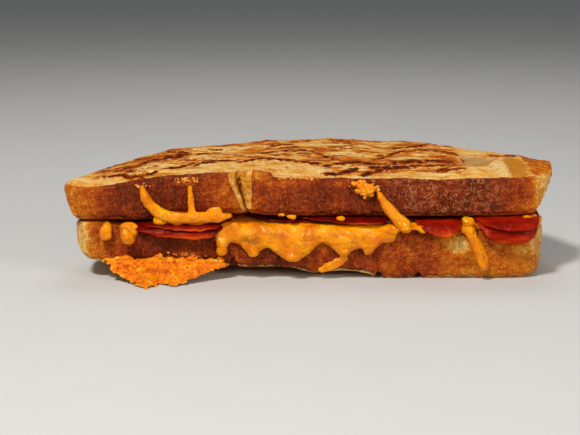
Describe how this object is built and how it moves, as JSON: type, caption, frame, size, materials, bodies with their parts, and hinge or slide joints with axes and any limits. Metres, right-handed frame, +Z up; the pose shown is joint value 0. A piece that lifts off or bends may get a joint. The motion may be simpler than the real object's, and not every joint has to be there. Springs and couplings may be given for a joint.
{
  "type": "grilled cheese sandwich",
  "caption": "Grilled cheese and ham sandwich of thick country loaf slices, with melted cheese running down its front crust and a crisp cheese edge.",
  "frame": {"origin": "middle of the bounding box in plan, at the level the sandwich stands on", "axes": "+Z up; +X along the slices, to the right as seen from the front; the long flat crust with the melted cheese faces -Y"},
  "size_m": [0.201, 0.12, 0.0461],
  "materials": {
    "crust": "matt dark brown crust, pale toasted crumb on top",
    "cheese": "glossy melted cheese",
    "crisp_cheese": "rough fried cheese",
    "ham": "moist cured ham"
  },
  "bodies": {
    "root": {"bread_lower": "crust", "bread_upper": "crust", "cheese_lower": "cheese", "cheese_upper": "cheese", "cheese_drop_outer": "cheese", "cheese_drop_inner": "cheese", "cheese_crisp": "crisp_cheese", "cheese_patch": "crisp_cheese", "ham_left_low": "ham", "ham_left_high": "ham", "ham_middle_low": "ham", "ham_middle_high": "ham", "ham_right_low": "ham", "ham_end_low": "ham", "ham_end_high": "ham"}
  },
  "joints": []
}
